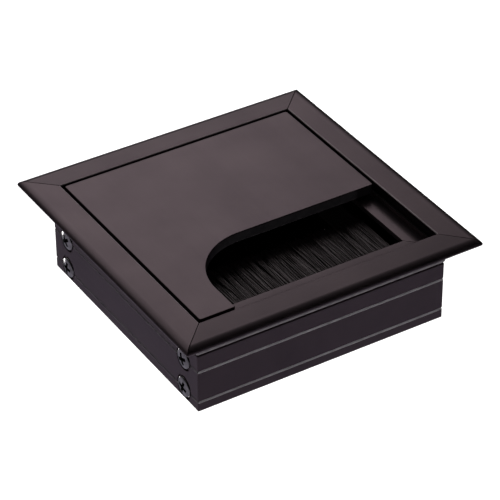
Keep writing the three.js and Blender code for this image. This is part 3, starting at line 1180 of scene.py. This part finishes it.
def times(tree, first, second):
    """The product of two values."""
    maths = tree.nodes.new("ShaderNodeMath")
    maths.operation = "MULTIPLY"
    tree.links.new(first, maths.inputs[0])
    tree.links.new(second, maths.inputs[1])
    return maths.outputs["Value"]


# Each stop: how well a direction agrees with the sky's lightest place, and its grey there.
SKY_STOPS = [(-0.3, 0.008), (0.0, 0.01), (0.34, 0.02), (0.70, 0.06), (1.0, 0.12)]
SKY_PLACE = (172, 38)

# The floor's glow comes from below the horizon. It's missing behind on the right, and
# strongest behind on the left.
FLOOR_GLOW = (0.388, 0.380, 0.468)
GLOW_START = (-0.15, -0.42)
FADE_PLACE, FADE_RANGE = (148, -20), (0.93, 0.6)
SIDE_PLACE, SIDE_RANGE, SIDE_LEAST = (-148, -35), (0.2, 0.9), 0.7


def make_world():
    """A soft sky, lightest behind and overhead, and the glow of a pale floor below."""
    world = bpy.data.worlds.new("studio")
    bpy.context.scene.world = world
    world.use_nodes = True
    tree = world.node_tree
    background = tree.nodes["Background"]
    place = tree.nodes.new("ShaderNodeTexCoord").outputs["Generated"]
    ramp = tree.nodes.new("ShaderNodeValToRGB")
    stops = ramp.color_ramp.elements
    while len(stops) < len(SKY_STOPS):
        stops.new(0.5)
    for stop, (agreement, grey) in zip(stops, SKY_STOPS):
        stop.position = (agreement + 1) / 2
        stop.color = (grey, grey, grey, 1)
    behind = nearness(tree, place, direction(*SKY_PLACE))
    tree.links.new(from_signed(tree, behind), ramp.inputs["Fac"])
    upward = nearness(tree, place, (0, 0, 1))
    below = smooth_range(tree, upward, *GLOW_START, 0, 1)
    fading = nearness(tree, place, direction(*FADE_PLACE))
    away = smooth_range(tree, fading, *FADE_RANGE, 0, 1)
    sideways = nearness(tree, place, direction(*SIDE_PLACE))
    side = smooth_range(tree, sideways, *SIDE_RANGE, SIDE_LEAST, 1)
    glow = times(tree, times(tree, below, away), side)
    mixed = tree.nodes.new("ShaderNodeMix")
    mixed.data_type = "RGBA"
    mixed.inputs["B"].default_value = (*FLOOR_GLOW, 1)
    tree.links.new(glow, mixed.inputs["Factor"])
    tree.links.new(ramp.outputs["Color"], mixed.inputs["A"])
    tree.links.new(mixed.outputs["Result"], background.inputs["Color"])


def light_screws(screws):
    """The bright patch of floor behind the object, which only the plated screws pick up."""
    glint = make_softbox("floor_glint", *GLINT_LIGHT)
    glint.light_linking.receiver_collection = screws
    glint.light_linking.blocker_collection = screws


def light_underside():
    """A soft light from below, through the floor, for looking at the underside."""
    pieces = bpy.data.collections.new("pieces")
    for piece in bpy.context.scene.objects:
        if piece.type == "MESH" and piece.name not in ("floor", "card"):
            pieces.objects.link(piece)
    below = make_softbox("softbox_below", *BELOW_LIGHT)
    below.light_linking.receiver_collection = pieces
    below.light_linking.blocker_collection = pieces


def light_stage(stage):
    """The sky, the softboxes behind the object, and a light that only the floor takes."""
    make_world()
    make_softbox("softbox_back", *BACK_LIGHT)
    make_softbox("softbox_spill", *SPILL_LIGHT)
    floor_light = make_softbox("floor_light", *FLOOR_LIGHT)
    floor_light.light_linking.receiver_collection = stage
    floor_light.light_linking.blocker_collection = stage


VIEW_AZIMUTH = -31.68
VIEW_ELEVATION = 35.32
VIEW_ROLL = -0.335
VIEW_DISTANCE = 0.7223
VIEW_LENS = 185.6
VIEW_SENSOR = 36
VIEW_TARGET = Vector((-2.49, -6.04, 18.8)) * MM


def make_camera():
    """A long lens from the front left, looking down on the object."""
    camera = bpy.data.cameras.new("camera")
    camera.lens = VIEW_LENS
    camera.sensor_width = VIEW_SENSOR
    camera.clip_start, camera.clip_end = 0.05, 20
    viewer = bpy.data.objects.new("camera", camera)
    back = direction(VIEW_AZIMUTH, VIEW_ELEVATION)
    viewer.location = VIEW_TARGET + back * VIEW_DISTANCE
    viewer.rotation_mode = "QUATERNION"
    level = (-back).to_track_quat("-Z", "Y")
    roll = Matrix.Rotation(math.radians(VIEW_ROLL), 4, "Z").to_quaternion()
    viewer.rotation_quaternion = level @ roll
    bpy.context.scene.collection.objects.link(viewer)
    bpy.context.scene.camera = viewer


# ---- the scene ---------------------------------------------------------------------------

make_camera()
light_stage(make_floor())
bpy.context.scene.view_settings.view_transform = "Standard"

lid_black = satin_anodised("lid_anodised", DRAWN_Y, BLACK_DARK, BLACK_LIGHT)

for along, grain, sides, coat, lip in (
    ("x", DRAWN_X, ("front", "back"), (CROSS_SHADED_DARK, CROSS_SHADED_LIGHT), GROOVE_HIGHLIGHT_STRONG),
    ("y", DRAWN_Y, ("left", "right"), (BLACK_DARK, BLACK_LIGHT), GROOVE_HIGHLIGHT_FAINT),
):
    # Painted highlights on the groove lips, rib and inner edge, and painted shade in the recess.
    finishes = [
        satin_anodised(f"anodised_{along}", grain, *coat),
        painted_highlight_finish(f"groove_lip_{along}", grain, *lip),
        painted_highlight_finish(f"rib_{along}", grain, RIB_HIGHLIGHT_DARK, RIB_HIGHLIGHT_LIGHT),
        satin_anodised(f"recess_{along}", grain, RECESS_SHADE_DARK, RECESS_SHADE_LIGHT, RECESS_ROUGHNESS),
        painted_highlight_finish(f"inner_edge_{along}", grain, EDGE_HIGHLIGHT_DARK, EDGE_HIGHLIGHT_LIGHT),
    ]
    for side in sides:
        make_rail(side, finishes)

make_lid(lid_black, painted_highlight_finish("lid_edge", DRAWN_X, LID_EDGE_HIGHLIGHT_DARK, LID_EDGE_HIGHLIGHT_LIGHT))
felt_black = felt()
for corner in ("back_left", "back_right", "front_left", "front_right"):
    make_pad(corner, felt_black)
light_screws(make_screws(black_zinc(), shaded_zinc_recess()))
steel = coated_steel()
make_channel(steel)
make_wire(steel)
black_nylon = nylon()
make_root(black_nylon)
make_bristles(black_nylon)

light_underside()
